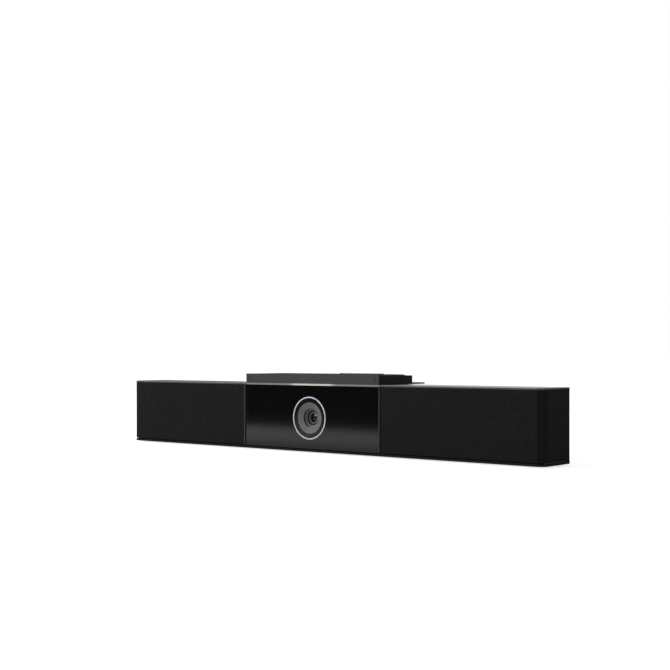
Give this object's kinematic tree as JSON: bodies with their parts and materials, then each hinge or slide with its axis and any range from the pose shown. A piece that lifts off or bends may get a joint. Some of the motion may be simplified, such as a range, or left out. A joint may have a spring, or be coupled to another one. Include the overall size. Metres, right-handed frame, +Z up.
{
  "type": "conference camera",
  "caption": "Conference camera bar with speakers and microphones behind cloth grilles, a recessed lens in a glossy centre panel, a light bar and a folding display clamp.",
  "frame": {"origin": "on the surface that the bar stands on, in the middle of its width and of its whole depth with the clamp folded down", "axes": "+X along the bar to the viewer's right, +Y away from the viewer so that the lens looks along -Y, +Z up"},
  "size_m": [0.43, 0.079, 0.0638],
  "materials": {
    "cover_plastic": "satin moulded ABS, near black",
    "housing_plastic": "fine spark-eroded texture, black",
    "chassis_aluminium": "bare sheet and extrusion",
    "grille_plastic": "satin moulded, black",
    "acoustic_cloth": "fine plain woven polyester, charcoal black",
    "trim_plastic": "semi-gloss, black",
    "window_acrylic": "polished, piano black",
    "carrier_plastic": "moulded, black",
    "light_guide": "frosted translucent light guide",
    "led_body": "moulded silicone over phosphor",
    "ring_aluminium": "diamond cut, bright",
    "bezel_plastic": "gloss, black",
    "hood_plastic": "fine matt, mid grey",
    "lens_glass": "coated optical glass",
    "barrel_metal": "black anodised",
    "holder_plastic": "moulded, black",
    "sensor_glass": "cover glass over silicon",
    "circuit_board": "solder mask, green",
    "ribbon_film": "polyimide and tinned traces",
    "contact_brass": "turned",
    "speaker_box_plastic": "moulded, black",
    "basket_steel": "black lacquer on pressed steel",
    "magnet_iron": "ferrite and zinc plated plates",
    "cone_paper": "coated paper",
    "surround_rubber": "butyl rubber",
    "chip_epoxy": "moulded epoxy",
    "port_steel": "plated sheet steel",
    "jack_plastic": "moulded, black",
    "button_plastic": "moulded, dark grey",
    "foot_rubber": "moulded silicone rubber",
    "black_screw": "black oxide",
    "bright_screw": "nickel plated",
    "bracket_steel": "black powder coat",
    "clamp_plastic": "fine texture, charcoal",
    "clamp_front_metal": "satin anodised, graphite",
    "pad_rubber": "ribbed rubber",
    "pin_steel": "ground",
    "leg_metal": "black powder coat on a casting",
    "gel_pad": "soft gel, matt"
  },
  "bodies": {
    "bar": {"top_cover": "cover_plastic", "bottom_cover": "cover_plastic", "rear_housing": "housing_plastic", "chassis": "chassis_aluminium", "left_grille_frame": "grille_plastic", "right_grille_frame": "grille_plastic", "left_grille_cloth": "acoustic_cloth", "right_grille_cloth": "acoustic_cloth", "panel_trims": "trim_plastic", "front_window": "window_acrylic", "panel_carrier": "carrier_plastic", "light_bar": "light_guide", "led_board": "circuit_board", "status_leds": "led_body", "lens_ring": "ring_aluminium", "lens_bezel": "bezel_plastic", "lens_hood": "hood_plastic", "lens_front_element": "lens_glass", "lens_barrel": "barrel_metal", "inner_lens_elements": "lens_glass", "lens_holder": "holder_plastic", "image_sensor": "sensor_glass", "camera_board": "circuit_board", "camera_ribbon": "ribbon_film", "microphone_boards": "circuit_board", "microphones": "contact_brass", "left_speaker_box": "speaker_box_plastic", "right_speaker_box": "speaker_box_plastic", "left_speaker_basket": "basket_steel", "right_speaker_basket": "basket_steel", "left_speaker_magnet": "magnet_iron", "right_speaker_magnet": "magnet_iron", "main_board": "circuit_board", "board_chips": "chip_epoxy", "heat_sink": "chassis_aluminium", "port_board": "circuit_board", "usb_c_port": "port_steel", "dc_jack": "jack_plastic", "button_switch": "port_steel", "security_plate": "port_steel", "tripod_insert": "contact_brass", "wall_inserts": "contact_brass", "rubber_feet": "foot_rubber", "housing_screws": "black_screw", "bracket_screws": "bright_screw", "clamp_base_plate": "bracket_steel", "clamp_block": "clamp_plastic", "clamp_front_plate": "clamp_front_metal", "clamp_top_pad": "pad_rubber", "clamp_hinge_pin": "pin_steel"},
    "leg": {"clamp_leg": "leg_metal"},
    "foot": {"clamp_foot": "leg_metal", "clamp_foot_pad": "gel_pad", "clamp_foot_pin": "pin_steel"},
    "button": {"reset_button": "button_plastic"},
    "left_cone": {"left_speaker_cone": "cone_paper", "left_speaker_surround": "surround_rubber"},
    "right_cone": {"right_speaker_cone": "cone_paper", "right_speaker_surround": "surround_rubber"}
  },
  "joints": [
    {"name": "leg_hinge", "type": "hinge", "parent": "bar", "child": "leg", "pos_m": [0, 0.0283, 0.06], "axis": [1, 0, 0], "range_deg": [0, 215]},
    {"name": "foot_tilt", "type": "hinge", "parent": "leg", "child": "foot", "pos_m": [0, 0.0323, 0.019], "axis": [1, 0, 0], "range_deg": [-20, 20]},
    {"name": "reset_press", "type": "slide", "parent": "bar", "child": "button", "axis": [0, -1, 0], "range_m": [0, 0.0006], "stiffness_N_per_m": 400, "springref_m": -0.0005},
    {"name": "left_cone_travel", "type": "slide", "parent": "bar", "child": "left_cone", "axis": [0, 1, 0], "range_m": [-0.001, 0.001], "stiffness_N_per_m": 1500},
    {"name": "right_cone_travel", "type": "slide", "parent": "bar", "child": "right_cone", "axis": [0, 1, 0], "range_m": [-0.001, 0.001], "stiffness_N_per_m": 1500}
  ]
}
